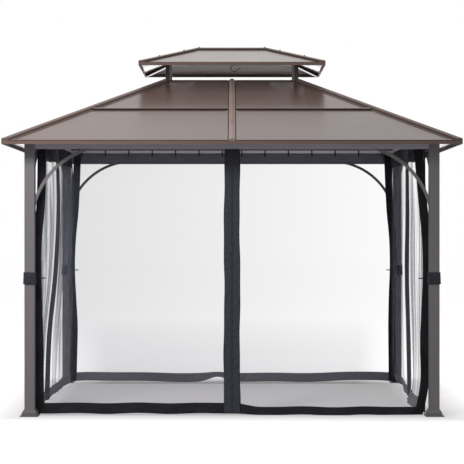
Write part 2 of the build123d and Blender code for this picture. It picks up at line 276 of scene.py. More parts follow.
class GazeboFinishes(bpy.types.PropertyGroup):
    """Colours of the paints and cloths."""

    roof: paint("Roof sheets", "Paint of the roof sheets", "4c3a33")
    backing: paint("Sheet backs", "Backing coat under the roof sheets", "f0f0f2")
    trim: paint("Roof trims", "Paint of the eave trims, caps and ribs", "66554e")
    post: paint("Posts", "Paint of the posts, feet and braces", "726e70")
    # The beams' colour is painted lighter than the posts' paint: painted light for the bounce light they miss
    # under the eave
    beam: paint("Beams", "Paint of the beams", "a3a1a7")
    rafter: paint("Rafters", "Paint of the rafters and the vent frame", "3e3c3c")
    # The rails' near white is painted light: it makes up for the shade of the roof over them
    rail: paint("Net rails", "Paint of the rails that carry the netting", "f0f0f0")
    tape: paint("Bands", "Woven bands of the netting and their thread", "1c1c20")
    zip_tape: paint("Zip bands", "Woven bands on both sides of a zip", "404249")
    # The hems' inner faces are painted this lighter grey: painted light
    lining: paint("Hem lining", "Inner side of the hems", "82858c")
    strap: paint("Straps", "Woven straps and rail loops", "303136")
    net: paint("Netting", "Threads of the netting", "666975")
    # The lips' black also stands in as painted shadow lines on the roof
    rubber: paint("Seals", "Rubber lips on the roof", "161617")
    plastic: paint("Plastic", "Zip teeth, sliders and toggles", "1d1d20")
    wire: paint("Hook", "Coat of the hanging hook", "161618")


class GazeboNetting(bpy.types.PropertyGroup):
    """Sizes of the netting."""

    zip_band: length("Zip band", "Width of the band on each side of a zip", 0.062)
    edge_band: length("Edge band", "Width of the band beside a post", 0.070)
    top_band: length("Top band", "Height of the band under the front and rear rails", 0.095)
    side_top_band: length("Side top band", "Height of the band under the side rails", 0.150)
    bottom_band: length("Bottom band", "Height of the hem band", 0.086)
    band_sheet: length("Band thickness", "Thickness of a folded and sewn band", 0.0026)
    net_cell: length("Net cell", "Drawn distance of the net's threads", 0.012)
    net_cover: bpy.props.FloatProperty(
        name="Net cover",
        description="How much of the light the net holds back",
        subtype="FACTOR",
        default=0.13,
    )


class GazeboFittings(bpy.types.PropertyGroup):
    """Sizes of the small fittings."""

    loop_pitch: length("Loop pitch", "Distance of the loops along a rail", 0.2285)
    loop_width: length("Loop width", "Width of a loop's tape", 0.012)
    tooth_pitch: length("Zip tooth pitch", "Distance of the zip's teeth", 0.006)
    stitch_pitch: length("Stitch pitch", "Distance of the stitches", 0.014)
    stitch_length: length("Stitch length", "Length of a stitch", 0.009)
    screw_head: length("Screw head", "Width of a roof screw's head", 0.012)


class GazeboStudio(bpy.types.PropertyGroup):
    """The stage around the gazebo."""

    camera_distance: length("Camera distance", "From the gazebo's middle to the camera", 13.082)
    camera_height: length("Camera height", "Height of the camera", 1.475)
    lens: bpy.props.FloatProperty(
        name="Lens", description="Focal length in millimetres on a 36 mm sensor", default=113.8
    )
    daylight: bpy.props.FloatProperty(
        name="Room light", description="Strength of the even light from all around", default=0.48
    )
    softbox: power("Softbox", "Power of the soft lamp at the front left", 56.0)
    top_light: power("Top light", "Power of the wide lamp overhead", 320.0)
    vent_light: power("Vent light", "Power of each small lamp under the upper sheets", 1.4)
    # The floor's glow under the roof: kept low there, it paints shade over the roof's real shadow
    floor_glow: bpy.props.FloatProperty(
        name="Floor glow", description="White that the floor shows by itself under the roof", default=0.275
    )
    floor_tone: bpy.props.FloatProperty(
        name="Floor tone",
        description="Share of the light that the floor throws back",
        subtype="FACTOR",
        default=0.36,
    )


# Materials


def add(tree, kind, inputs=None, **settings):
    """Add one node, set it up and link what it reads. A list holds several links into one socket."""
    made = tree.nodes.new(kind)
    for name, value in settings.items():
        setattr(made, name, value)
    for name, value in (inputs or {}).items():
        for one in value if isinstance(value, list) else [value]:
            if isinstance(one, bpy.types.NodeSocket):
                tree.links.new(one, made.inputs[name])
            else:
                made.inputs[name].default_value = one
    return made


def start_finish(name):
    """An empty material and its node tree."""
    finish = bpy.data.materials.new(name)
    finish.use_nodes = True
    finish.node_tree.nodes.clear()
    return finish, finish.node_tree


def close_finish(tree, inputs):
    """Put the surface shader and the output at the end of a material."""
    shader = add(tree, "ShaderNodeBsdfPrincipled", inputs)
    add(tree, "ShaderNodeOutputMaterial", {"Surface": shader.outputs["BSDF"]})


def shade(colour, factor):
    """A colour made lighter or darker, with the fourth value that nodes ask for."""
    return (*[min(1.0, c * factor) for c in colour], 1.0)


def wave_scale(period):
    """Scale of Blender's wave pattern for bands a given distance apart."""
    return 2 * math.pi / (20 * period)


def powder_coat(
    name, colour, roughness, stretch=(1.0, 1.0, 1.0), coat=0.0, backing=None, zinc=False, specular=0.5
):
    """Polyester powder baked onto steel: an even satin skin with a faint orange peel and soft tone clouds."""
    finish, tree = start_finish(name)
    place = add(tree, "ShaderNodeTexCoord").outputs["Object"]
    drawn = add(tree, "ShaderNodeMapping", {"Vector": place, "Scale": stretch}).outputs["Vector"]
    # Tone clouds about 280 mm wide, drawn out along the piece where it was rolled
    cloud = add(tree, "ShaderNodeTexNoise", {
        "Vector": drawn, "Scale": 1 / 0.28, "Detail": 3.0, "Roughness": 0.55,
    }).outputs["Fac"]
    tone = add(tree, "ShaderNodeMix", {
        0: cloud, 6: shade(colour, 0.92), 7: shade(colour, 1.08),
    }, data_type="RGBA").outputs[2]
    gloss = add(tree, "ShaderNodeMapRange", {
        0: cloud, 1: 0.3, 2: 0.7, 3: roughness - 0.03, 4: roughness + 0.04,
    }).outputs["Result"]
    bare = 0.0
    if backing:
        # Pieces painted from above keep a pale primer, or their bright zinc, on the faces that look down
        surface = add(tree, "ShaderNodeNewGeometry").outputs["True Normal"]
        upward = add(tree, "ShaderNodeSeparateXYZ", {"Vector": surface}).outputs["Z"]
        under = add(tree, "ShaderNodeMath", {0: upward, 1: -0.7}, operation="LESS_THAN").outputs[0]
        tone = add(tree, "ShaderNodeMix", {
            0: under, 6: tone, 7: shade(backing, 1.0),
        }, data_type="RGBA").outputs[2]
        gloss = add(tree, "ShaderNodeMix", {0: under, 2: gloss, 3: 0.12}).outputs[0]
        bare = under if zinc else 0.0
    # Orange peel is 1.5 mm wide on the real coat and is drawn at 9 mm so that it shows
    peel = add(tree, "ShaderNodeTexNoise", {"Vector": place, "Scale": 1 / 0.009, "Detail": 1.0})
    skin = add(tree, "ShaderNodeBump", {"Height": peel.outputs["Fac"], "Strength": 0.03, "Distance": 0.001})
    close_finish(tree, {
        "Base Color": tone,
        "Metallic": bare,
        "Roughness": gloss,
        "Normal": skin.outputs["Normal"],
        "IOR": 1.5,
        "Specular IOR Level": specular,
        "Coat Weight": coat,
        "Coat Roughness": 0.22,
    })
    return finish


def woven_tape(name, colour, zip_band=0.0, zip_tape=None, lining=None):
    """Plain woven polyester tape: near black and dull, with a fine rib that catches a little light."""
    finish, tree = start_finish(name)
    cloth = add(tree, "ShaderNodeTexCoord").outputs["UV"]
    # Threads are 0.6 mm apart and are drawn at 7 mm so that the rib shows
    warp, weft = [
        add(tree, "ShaderNodeTexWave", {"Vector": cloth, "Scale": wave_scale(0.007)}, bands_direction=way)
        for way in "XY"
    ]
    weave = add(tree, "ShaderNodeMath", {
        0: warp.outputs["Fac"], 1: weft.outputs["Fac"],
    }, operation="MULTIPLY").outputs["Value"]
    # Sun and rubbing bleach the tape in patches about 160 mm wide; the patches are drawn strong so that they
    # also paint the shade of the tape's crumples
    rub_and_crumple_shade = add(tree, "ShaderNodeTexNoise", {"Vector": cloth, "Scale": 1 / 0.16, "Detail": 4.0})
    bleach_and_crumple_shade = add(tree, "ShaderNodeMapRange", {0: rub_and_crumple_shade.outputs["Fac"], 1: 0.35, 2: 0.7})
    worn_and_shaded = add(tree, "ShaderNodeMix", {
        0: bleach_and_crumple_shade.outputs["Result"], 6: shade(colour, 0.8), 7: shade(colour, 1.7),
    }, data_type="RGBA").outputs[2]
    tone = add(tree, "ShaderNodeMix", {0: weave, 6: worn_and_shaded, 7: shade(colour, 1.5)}, data_type="RGBA").outputs[2]
    if zip_band:
        # The two bands of a zip are woven from a paler yarn
        from_zip = add(tree, "ShaderNodeSeparateXYZ", {"Vector": cloth}).outputs["X"]
        paler = add(tree, "ShaderNodeMath", {0: from_zip, 1: zip_band}, operation="LESS_THAN").outputs[0]
        light = add(tree, "ShaderNodeMix", {
            0: weave, 6: shade(zip_tape, 0.8), 7: shade(zip_tape, 1.3),
        }, data_type="RGBA").outputs[2]
        tone = add(tree, "ShaderNodeMix", {0: paler, 6: tone, 7: light}, data_type="RGBA").outputs[2]
    # The inner faces of the hems are painted a lighter grey: painted light
    if lining:
        # Hems are turned over and show their grey back on the inside
        inside = add(tree, "ShaderNodeAttribute", attribute_name="lining").outputs["Fac"]
        back = add(tree, "ShaderNodeMix", {
            0: weave, 6: shade(lining, 0.75), 7: shade(lining, 1.25),
        }, data_type="RGBA").outputs[2]
        tone = add(tree, "ShaderNodeMix", {0: inside, 6: tone, 7: back}, data_type="RGBA").outputs[2]
    # Sewn tape puckers in soft dents about 50 mm wide
    dents = add(tree, "ShaderNodeTexNoise", {"Vector": cloth, "Scale": 1 / 0.05, "Detail": 2.0})
    pucker = add(tree, "ShaderNodeBump", {"Height": dents.outputs["Fac"], "Strength": 0.8, "Distance": 0.02})
    rib = add(tree, "ShaderNodeBump", {
        "Height": weave, "Strength": 0.35, "Distance": 0.001, "Normal": pucker.outputs["Normal"],
    })
    close_finish(tree, {
        "Base Color": tone,
        "Roughness": 0.82,
        "Normal": rib.outputs["Normal"],
        "Specular IOR Level": 0.12,
        "Sheen Weight": 0.06,
        "Sheen Roughness": 0.5,
    })
    return finish


def mosquito_net(name, colour, cell, cover, gathered=False):
    """Warp knitted polyester net: fine grey threads with open cells, so it reads as a thin pale veil."""
    finish, tree = start_finish(name)
    cloth = add(tree, "ShaderNodeTexCoord").outputs["UV"]
    # Cells are 1.5 mm wide on the real net and are drawn coarser so that a thread can show
    warp, weft = [
        add(tree, "ShaderNodeTexWave", {"Vector": cloth, "Scale": wave_scale(cell)}, bands_direction=way)
        for way in "XY"
    ]
    thread = add(tree, "ShaderNodeMath", {
        0: warp.outputs["Fac"], 1: weft.outputs["Fac"],
    }, operation="MAXIMUM").outputs["Value"]
    veil = add(tree, "ShaderNodeMapRange", {0: thread, 1: 0.5, 2: 1.0, 3: cover * 0.8, 4: cover * 1.25})
    tone = add(tree, "ShaderNodeMix", {
        0: thread, 6: shade(colour, 0.8), 7: shade(colour, 1.25),
    }, data_type="RGBA")
    if gathered:
        # Gathered cloth is drawn together in tall streaks about 260 mm wide, which hold back more light
        tall = add(tree, "ShaderNodeMapping", {"Vector": cloth, "Scale": (1.0, 0.08, 1.0)}).outputs["Vector"]
        streaks = add(tree, "ShaderNodeTexNoise", {
            "Vector": tall, "Scale": 1 / 0.26, "Detail": 2.0, "Distortion": 0.8,
        })
        density_scale = add(tree, "ShaderNodeMapRange", {0: streaks.outputs["Fac"], 1: 0.43, 2: 0.57, 3: 0.3, 4: 2.9})
    else:
        # The net holds back more light at -X and less towards +X
        place = add(tree, "ShaderNodeTexCoord").outputs["Object"]
        sideways = add(tree, "ShaderNodeSeparateXYZ", {"Vector": place}).outputs["X"]
        density_scale = add(tree, "ShaderNodeMapRange", {0: sideways, 1: -1.5, 2: 1.5, 3: 1.12, 4: 0.12})
    held = add(tree, "ShaderNodeMath", {
        0: veil.outputs["Result"], 1: density_scale.outputs["Result"],
    }, operation="MULTIPLY")
    close_finish(tree, {
        "Base Color": tone.outputs[2],
        "Roughness": 0.75,
        "Alpha": held.outputs[0],
        "Specular IOR Level": 0.2,
    })
    return finish


def mottled(name, colour, spot, detail, tones, surface, gloss=None):
    """A coat with soft spots of a given width, between two tones and perhaps between two degrees of gloss."""
    finish, tree = start_finish(name)
    place = add(tree, "ShaderNodeTexCoord").outputs["Object"]
    spots = add(tree, "ShaderNodeTexNoise", {
        "Vector": place, "Scale": 1 / spot, "Detail": detail,
    }).outputs["Fac"]
    tone = add(tree, "ShaderNodeMix", {
        0: spots, 6: shade(colour, tones[0]), 7: shade(colour, tones[1]),
    }, data_type="RGBA")
    if gloss:
        shine = add(tree, "ShaderNodeMapRange", {0: spots, 3: gloss[0], 4: gloss[1]})
        surface = {**surface, "Roughness": shine.outputs["Result"]}
    close_finish(tree, {**surface, "Base Color": tone.outputs[2]})
    return finish


def moulded_plastic(name, colour):
    """Injection moulded acetal: smooth, dark and slightly shiny, with faint flow marks 12 mm wide."""
    return mottled(
        name, colour, spot=0.012, detail=2.0, tones=(0.8, 1.3), surface={"IOR": 1.48}, gloss=(0.32, 0.48)
    )


def sewing_thread(name, colour):
    """Spun polyester thread: dull, a shade lighter than the tape, with an uneven twist every 4 mm."""
    return mottled(name, colour, spot=0.004, detail=1.0, tones=(1.2, 2.2), surface={"Roughness": 0.8})


def dip_coated_wire(name, colour):
    """Bent steel wire under a thin dark coat: smooth with a soft highlight and worn spots 20 mm wide."""
    return mottled(name, colour, spot=0.02, detail=4.0, tones=(0.7, 1.4), surface={}, gloss=(0.3, 0.5))


def rubber_shade_line(name, colour):
    """Black, dull rubber lip with a greyish bloom in patches 90 mm wide; its black also paints the shadow
    lines beside ribs, caps and seams.
    """
    dull = {"Specular IOR Level": 0.3}
    return mottled(name, colour, spot=0.09, detail=4.0, tones=(0.8, 1.5), surface=dull, gloss=(0.6, 0.8))


def finish_for(key):
    """Each finish once, made when it is first asked for."""
    looks = bpy.context.scene.gazebo_finishes
    nets = bpy.context.scene.gazebo_netting
    # The ribs take the trims' paint made lighter: a painted highlight for the sheen of their sloping faces
    dark_trim, rib_trim_painted_light = [c * 0.78 for c in looks.trim], [c * 1.4 for c in looks.trim]
    # The foot covers take the posts' paint made darker: painted shade for the dimmer light near the floor
    post_in_painted_shade = [c * 0.76 for c in looks.post]
    sheet = {"roughness": 0.32, "coat": 0.9, "backing": looks.backing}
    bare_bar = {"roughness": 0.5, "backing": looks.backing, "zinc": True}
    tube = {"roughness": 0.5, "stretch": (4.0, 4.0, 0.35), "specular": 0.28}
    bands = (looks.tape, nets.zip_band, looks.zip_tape, looks.lining)
    net = (looks.net, nets.net_cell, nets.net_cover)
    makers = {
        "Powder coated steel sheet": lambda n: powder_coat(n, looks.roof, **sheet),
        "Powder coated zinc sheet": lambda n: powder_coat(n, looks.roof, zinc=True, **sheet),
        "Powder coated folded trim": lambda n: powder_coat(n, looks.trim, 0.42, specular=0.25),
        "Powder coated roof cap": lambda n: powder_coat(n, dark_trim, 0.42, specular=0.25),
        "Powder coated roof rib, painted lighter": lambda n: powder_coat(n, rib_trim_painted_light, 0.36, coat=0.5),
        "Extruded rubber lip for shade lines": lambda n: rubber_shade_line(n, looks.rubber),
        "Powder coated square tube": lambda n: powder_coat(n, looks.post, **tube),
        "Powder coated foot cover, painted darker": lambda n: powder_coat(n, post_in_painted_shade, 0.44, specular=0.4),
        # The beams' lighter colour is painted light
        "Powder coated beam tube, painted lighter": lambda n: powder_coat(n, looks.beam, 0.46, specular=0.3),
        "Powder coated rafter bar": lambda n: powder_coat(n, looks.rafter, 0.5),
        "Powder coated zinc bar": lambda n: powder_coat(n, looks.rafter, **bare_bar),
        # The rails' near white is painted light
        "Powder coated net rail, painted lighter": lambda n: powder_coat(n, looks.rail, 0.42),
        "Woven polyester tape": lambda n: woven_tape(n, *bands),
        "Woven polyester strap": lambda n: woven_tape(n, looks.strap),
        "Knitted mosquito net": lambda n: mosquito_net(n, *net),
        "Knitted mosquito net in gathers": lambda n: mosquito_net(n, *net, gathered=True),
        "Moulded acetal": lambda n: moulded_plastic(n, looks.plastic),
        "Spun sewing thread": lambda n: sewing_thread(n, looks.tape),
        "Painted roof screw": lambda n: dip_coated_wire(n, looks.trim),
        "Dip coated wire": lambda n: dip_coated_wire(n, looks.wire),
    }
    return bpy.data.materials.get(key) or makers[key](key)


# Mesh helpers


def new_shape():
    """Points, faces, cloth coordinates and painted inner light of a mesh that is being put together."""
    return {"points": [], "faces": [], "cloth": [], "lining": []}


def add_grid(shape, points, cloth, thickness=0.0, inner_light_share=0.0):
    """Add rows of points as a sheet, or as a closed strip, perhaps with painted light on its inner face,
    where it has a thickness.
    """
    rows, columns = points.shape[:2]
    count = rows * columns
    index = np.arange(count).reshape(rows, columns)
    quads = np.stack([index[:-1, :-1], index[:-1, 1:], index[1:, 1:], index[1:, :-1]], -1).reshape(-1, 4)
    start = sum(len(p) for p in shape["points"])
    shape["faces"] += (quads + start).tolist()
    if not thickness:
        layers = [(points, 0.0)]
    else:
        normal = np.cross(np.gradient(points, axis=1), np.gradient(points, axis=0))
        normal *= thickness / 2 / np.linalg.norm(normal, axis=2, keepdims=True)
        # A little of the inner face's painted light shows on the outer side too
        layers = [(points + normal, INNER_LIGHT_THROUGH * inner_light_share), (points - normal, inner_light_share)]
        rim = np.concatenate([index[0, :-1], index[:-1, -1], index[-1, :0:-1], index[:0:-1, 0]])
        following = np.roll(rim, -1)
        wall = np.stack([rim, rim + count, following + count, following], -1)
        shape["faces"] += (quads[:, ::-1] + start + count).tolist()
        shape["faces"] += (wall + start).tolist()
    for layer, lining in layers:
        shape["points"].append(layer.reshape(-1, 3))
        shape["cloth"].append(cloth.reshape(-1, 2))
        shape["lining"].append(np.full(count, lining))


def add_bar(shape, start, end, facing, width, height):
    """Add a straight bar that lies on the line between two points and rises on the facing side."""
    along = (end - start) / np.linalg.norm(end - start)
    across = np.cross(facing, along) * width / 2
    first = sum(len(p) for p in shape["points"])
    ring = [-across, across, across + facing * height, facing * height - across]
    shape["points"].append(np.array([start + corner for corner in ring] + [end + corner for corner in ring]))
    sides = [(i, (i + 1) % 4, (i + 1) % 4 + 4, i + 4) for i in range(4)]
    shape["faces"] += [[first + i for i in face] for face in [(3, 2, 1, 0), (4, 5, 6, 7), *sides]]


def place_piece(name, mesh):
    """Put a mesh into the scene as a piece that rides on the gazebo."""
    piece = bpy.data.objects.new(name, mesh)
    bpy.context.scene.collection.objects.link(piece)
    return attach(piece, "root")


def build(name, shape, finish, smooth=True):
    """Turn collected points and faces into a piece."""
    mesh = bpy.data.meshes.new(name)
    mesh.from_pydata(np.concatenate(shape["points"]).tolist(), [], shape["faces"])
    if shape["cloth"]:
        cloth = np.concatenate(shape["cloth"])
        corners = np.empty(len(mesh.loops), np.int32)
        mesh.loops.foreach_get("vertex_index", corners)
        layer = mesh.uv_layers.new(name="Cloth")
        layer.data.foreach_set("uv", cloth[corners].astype(np.float32).ravel())
        lining = np.concatenate(shape["lining"]).astype(np.float32)
        mesh.attributes.new("lining", "FLOAT", "POINT").data.foreach_set("value", lining)
    mesh.polygons.foreach_set("use_smooth", [smooth] * len(mesh.polygons))
    mesh.materials.append(finish)
    mesh.validate()
    return place_piece(name, mesh)


def repeat_tree(name, sizes, shape, spaced):
    """Node tree that sets one small shape on marked points, or along marked lines at a pitch."""
    tree = bpy.data.node_groups.new(name, "GeometryNodeTree")
    tree.interface.new_socket("Geometry", in_out="INPUT", socket_type="NodeSocketGeometry")
    for size in sizes:
        tree.interface.new_socket(size, in_out="INPUT", socket_type="NodeSocketFloat")
    tree.interface.new_socket("Finish", in_out="INPUT", socket_type="NodeSocketMaterial")
    tree.interface.new_socket("Geometry", in_out="OUTPUT", socket_type="NodeSocketGeometry")
    given = add(tree, "NodeGroupInput").outputs
    marks = given["Geometry"]
    if spaced:
        lines = add(tree, "GeometryNodeMeshToCurve", {"Mesh": marks})
        marks = add(tree, "GeometryNodeResampleCurve", {
            "Curve": lines.outputs["Curve"], "Length": given["Pitch"],
        }, mode="LENGTH").outputs["Curve"]
    facing, along = [
        add(tree, "GeometryNodeInputNamedAttribute", {"Name": key}, data_type="FLOAT_VECTOR")
        for key in ("facing", "along")
    ]
    turn = add(tree, "FunctionNodeAxesToRotation", {
        "Primary Axis": facing.outputs["Attribute"],
        "Secondary Axis": along.outputs["Attribute"],
    }, primary_axis="Z", secondary_axis="X")
    placed = add(tree, "GeometryNodeInstanceOnPoints", {
        "Points": marks,
        "Instance": shape(tree, given),
        "Rotation": turn.outputs["Rotation"],
    })
    solid = add(tree, "GeometryNodeRealizeInstances", {"Geometry": placed.outputs["Instances"]})
    coloured = add(tree, "GeometryNodeSetMaterial", {
        "Geometry": solid.outputs["Geometry"], "Material": given["Finish"],
    })
    add(tree, "NodeGroupOutput", {"Geometry": coloured.outputs["Geometry"]})
    return tree


def repeat_on(name, tree, lines, sizes, finish):
    """Set a tree's shape along lines of points, each with the ways it faces and runs, and keep the mesh."""
    points = np.concatenate([line[0] for line in lines])
    edges = []
    start = 0
    for line in lines:
        edges += [(start + i, start + i + 1) for i in range(len(line[0]) - 1)]
        start += len(line[0])
    mesh = bpy.data.meshes.new(name + "_marks")
    mesh.from_pydata(points.tolist(), edges, [])
    for which, key in ((1, "facing"), (2, "along")):
        ways = np.concatenate([line[which] for line in lines]).astype(np.float32)
        mesh.attributes.new(key, "FLOAT_VECTOR", "POINT").data.foreach_set("vector", ways.ravel())
    marks = bpy.data.objects.new(name + "_marks", mesh)
    bpy.context.scene.collection.objects.link(marks)
    modifier = marks.modifiers.new("Repeat", "NODES")
    modifier.node_group = tree
    values = {**sizes, "Finish": finish}
    for socket in tree.interface.items_tree:
        if socket.in_out == "INPUT" and socket.name in values:
            modifier[socket.identifier] = values[socket.name]
    graph = bpy.context.evaluated_depsgraph_get()
    made = bpy.data.meshes.new_from_object(marks.evaluated_get(graph), depsgraph=graph)
    made.name = name
    bpy.data.objects.remove(marks)
    if not made.polygons:
        raise RuntimeError(name + " came out empty")
    return place_piece(name, made)


def turned(points, turn):
    """Points of the front side moved round to another side."""
    x, y, z = points[..., 0], points[..., 1], points[..., 2]
    return np.stack([x * math.cos(turn) - y * math.sin(turn), x * math.sin(turn) + y * math.cos(turn), z], -1)


def side_mark(point, facing, turn):
    """A mark on the front, moved round to another side: its point, the way it faces and the way it runs."""
    return tuple(turned(np.array([one]), turn) for one in (point, facing, (1.0, 0.0, 0.0)))


# Netting


def share(value):
    """A value kept between 0 and 1."""
    return np.clip(value, 0, 1)


def ease(value):
    """A share that starts and ends softly."""
    return share(value) ** 2 * (3 - 2 * share(value))


def level_curve(levels, height):
    """Smooth curve through evenly spaced levels, read at heights from 0 at the hem to 1 at the rail."""
    levels = np.asarray(levels)
    slopes = np.gradient(levels)
    place = share(height) * (len(levels) - 1)
    step = np.minimum(place.astype(int), len(levels) - 2)
    t = place - step
    below = levels[step] * (1 + 2 * t) + slopes[step] * t
    above = levels[step + 1] * (3 - 2 * t) - slopes[step + 1] * (1 - t)
    return below * (1 - t) ** 2 + above * t**2


def net_place(side):
    """Turn of a side, half its width, its distance from the middle, and its bottom and top."""
    low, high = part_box("net_bands_" + side)
    half = high.x if side in LONG_SIDES else high.y
    distance = abs(low.y + high.y) / 2 if side in LONG_SIDES else abs(low.x + high.x) / 2
    return math.radians(SIDES[side]), half, distance, low.z, high.z


def net_width(side, way, height):
    """Width of one half at a height."""
    drape = NET_DRAPE[side]
    half = net_place(side)[1]
    return half + level_curve(drape["edge"][way], height) - way * level_curve(drape["zip_along"], height)


def fold_depth(drape, way, across, height, from_zip):
    """How far the folds of one half stand out. They die away at the stiff zip and beside the post."""
    wander = drape["folds"] * sum(
        size * np.sin(up * height + over * across + phase)
        for (size, up, over), phase in ((LONG_WANDER, way), (SHORT_WANDER, 0))
    )
    fine = np.sin(2 * np.pi * across * (drape["folds"] + wander))
    broad = np.sin(2 * np.pi * across * (drape["folds"] * BROAD_FOLDS + wander * BROAD_WANDER))
    swing = (FINE_SHARE[0] + FINE_SHARE[1] * height) * fine
    swing = swing + (BROAD_SHARE[0] + BROAD_SHARE[1] * height) * broad
    over, up, by_half = DEPTH_WAVES
    uneven = MEAN_DEPTH + DEPTH_CHANGE * np.sin(over * across + up * height + by_half * way)
    waves = np.sin(2 * np.pi * across * drape["hem_folds"] * CRUMPLE_WAVES + CRUMPLE_START)
    crumple = drape["crumple"] * (1 - height) ** KEEPS["crumple"] * waves * across
    held = ease((1 - across) / POST_STIFF) * ease((from_zip - ZIP_STIFF[0]) / (ZIP_STIFF[1] - ZIP_STIFF[0]))
    return held * (way * level_curve(drape["depth"], height) * uneven * swing + crumple)


def net_out(drape, way, across, height, from_zip):
    """How far one half stands out from its rail: shift and twist of the zip, folds, and push of the hem."""
    spread = 1 - share(across) ** drape["spread"][way]
    twist = way * drape["twist"] * np.sin(np.pi * share(from_zip / TWIST_REACH))
    twist = twist * (1 - height ** KEEPS["twist"])
    push, skew = drape["hem_out"][way]
    pushed = push * share(1 - height) ** KEEPS["push"] * np.sin(np.pi * share(across) ** skew)
    folds = fold_depth(drape, way, across, height, from_zip)
    return level_curve(drape["zip_out"], height) * spread + twist + folds + pushed


def hem_rise(drape, way, across, height, from_zip):
    """How far one half is lifted: by the waves of its hem, where it stands up, less where it sinks."""
    hang = 1 - height
    wave = drape["hem_wave"] * np.sin(2 * np.pi * drape["hem_folds"] * across + WAVE_START * way)
    lift = drape["hem_lift"][way] * np.sin(np.pi * share(across) ** LIFT_TO_POST)
    lift = lift + wave * np.sin(np.pi * across)
    # A hem that sinks lands on the floor, so its upper edge comes down further than its lower edge
    sink = share(hang) ** KEEPS["sink"] - LANDED_SHARE * share(hang) ** KEEPS["landed"]
    drop = drape["hem_drop"][way] * ease(across / DROP_REACH)
    arch = np.exp(-(((from_zip - ARCH_PLACE) / ARCH_REACH) ** 2)) * share(hang) ** KEEPS["arch"]
    return hang ** KEEPS["lift"] * lift - sink * drop + drape["hem_arch"][way] * arch


def net_points(side, way, across, height):
    """Points of one net half. Across runs from the zip to the post, height from the hem to the rail."""
    drape = NET_DRAPE[side]
    turn, _, distance, low, high = net_place(side)
    from_zip = across * net_width(side, way, height)
    along = level_curve(drape["zip_along"], height) + way * from_zip
    out = net_out(drape, way, across, height, from_zip)
    from_loop = np.maximum(np.abs(along) - LOOP_START, 0) / bpy.context.scene.gazebo_fittings.loop_pitch
    sag = TOP_SAG * (0.5 - 0.5 * np.cos(2 * np.pi * from_loop))
    sag = sag * share(height) ** KEEPS["sag"] * share((1 - across) / SAG_STIFF)
    rise = hem_rise(drape, way, across, height, from_zip) - sag
    z = np.maximum(low + (high - low) * height + rise, FLOOR_GAP)
    return turned(np.stack([along, -(distance + out), z], -1), turn)


def net_grid(side, way, near, far, heights, columns):
    """Points and cloth coordinates between two distances from the zip, given for every height."""
    width = net_width(side, way, heights)[:, None]
    metres = near[:, None] + (far - near)[:, None] * np.linspace(0, 1, columns)[None, :]
    tall = np.repeat(heights[:, None], columns, 1)
    points = net_points(side, way, metres / width, tall)
    low, high = net_place(side)[3:]
    cloth = np.stack([metres, low + (high - low) * tall], -1)
    if way < 0:
        points, cloth = points[:, ::-1], cloth[:, ::-1]
    return points, cloth


def band_levels(side):
    """Shares of the height at which the hem band ends and the top band starts."""
    nets = bpy.context.scene.gazebo_netting
    low, high = net_place(side)[3:]
    top_band = nets.top_band if side in LONG_SIDES else nets.side_top_band
    return nets.bottom_band / (high - low), 1 - top_band / (high - low)


def hang_half(side, half_name, way):
    """One half of a side's netting: the open field and its sewn bands."""
    nets = bpy.context.scene.gazebo_netting
    name = "net_" + side + "_" + half_name
    hem, head = band_levels(side)
    long_side = side in LONG_SIDES
    columns = LONG_COLUMNS if long_side else SHORT_COLUMNS
    hem_levels, head_levels = np.linspace(0, hem, HEM_ROWS), np.linspace(head, 1, HEAD_ROWS)
    heights = np.concatenate([hem_levels[:-1], np.linspace(hem, head, FIELD_ROWS)[:-1], head_levels])
    none = np.zeros_like(heights)
    width = net_width(side, way, heights)

    field = new_shape()
    add_grid(field, *net_grid(side, way, none, width, heights, columns))
    weave = "Knitted mosquito net" if long_side else "Knitted mosquito net in gathers"
    field_piece = build(name + "_field", field, finish_for(weave))

    bands = new_shape()
    # The band of the zip is not quite straight, and it lies over the ends of the other bands
    bow = ZIP_BOW[0] * np.sin(ZIP_BOW[1] * heights + ZIP_BOW[2] * way)
    ripple = ZIP_RIPPLE[0] * np.sin(ZIP_RIPPLE[1] * heights)
    uneven = nets.zip_band * (ZIP_WIDTH - ZIP_TAPER * heights) + bow + ripple
    add_grid(bands, *net_grid(side, way, none, uneven, heights, ZIP_COLUMNS), nets.band_sheet + ZIP_LAP)
    edge = width - nets.edge_band
    add_grid(bands, *net_grid(side, way, edge, width, heights, EDGE_COLUMNS), nets.band_sheet)
    for levels, inner_light_share in ((hem_levels, HEM_INNER_LIGHT), (head_levels, HEAD_INNER_LIGHT * long_side)):
        near = np.full_like(levels, nets.zip_band)
        far = net_width(side, way, levels) - nets.edge_band
        add_grid(bands, *net_grid(side, way, near, far, levels, columns), nets.band_sheet, inner_light_share)
    band_piece = build(name + "_bands", bands, finish_for("Woven polyester tape"))

    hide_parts("net_mesh_" + side)
    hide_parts("net_bands_" + side)
    return field_piece, band_piece


def outer_line(side, way, across, heights):
    """Points on a band's outer face, with the ways they face and run."""
    nets = bpy.context.scene.gazebo_netting
    step = 0.002
    here = net_points(side, way, across, heights)
    sideways = net_points(side, way, across + way * step, heights) - here
    upwards = net_points(side, way, across, heights + step) - here
    facing = np.cross(sideways, upwards)
    facing /= np.linalg.norm(facing, axis=1, keepdims=True)
    along = np.gradient(here, axis=0)
    along /= np.linalg.norm(along, axis=1, keepdims=True)
    return here + facing * nets.band_sheet / 2, facing, along


def zip_line(side, way, from_zip, heights):
    """A line up one half at a distance from its zip."""
    return outer_line(side, way, from_zip / net_width(side, way, heights), heights)


def edge_line(side, way, from_edge, heights):
    """A line up one half at a distance from its edge beside the post."""
    width = net_width(side, way, heights)
    return outer_line(side, way, (width - from_edge) / width, heights)


